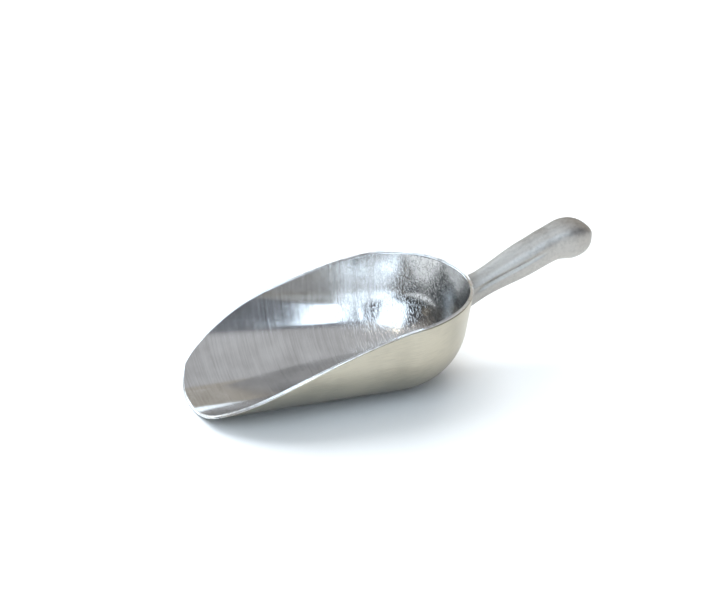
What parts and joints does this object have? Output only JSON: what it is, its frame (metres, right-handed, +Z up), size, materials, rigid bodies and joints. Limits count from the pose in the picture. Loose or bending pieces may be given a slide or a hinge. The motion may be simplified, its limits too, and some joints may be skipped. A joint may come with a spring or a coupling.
{
  "type": "ice scoop",
  "caption": "Cast aluminium ice scoop with a deep round-backed bowl, a sloping rounded lip and a fluted grip that rises to a rounded knob.",
  "frame": {"origin": "on the resting plane, under the middle of the overall length and on the centre plane", "axes": "+X from the lip towards the handle, +Z up, Y across the bowl"},
  "size_m": [0.3078, 0.1346, 0.1045],
  "materials": {
    "bowl_metal": "brushed",
    "handle_metal": "satin"
  },
  "bodies": {
    "root": {"bowl": "bowl_metal", "handle": "handle_metal"}
  },
  "joints": []
}
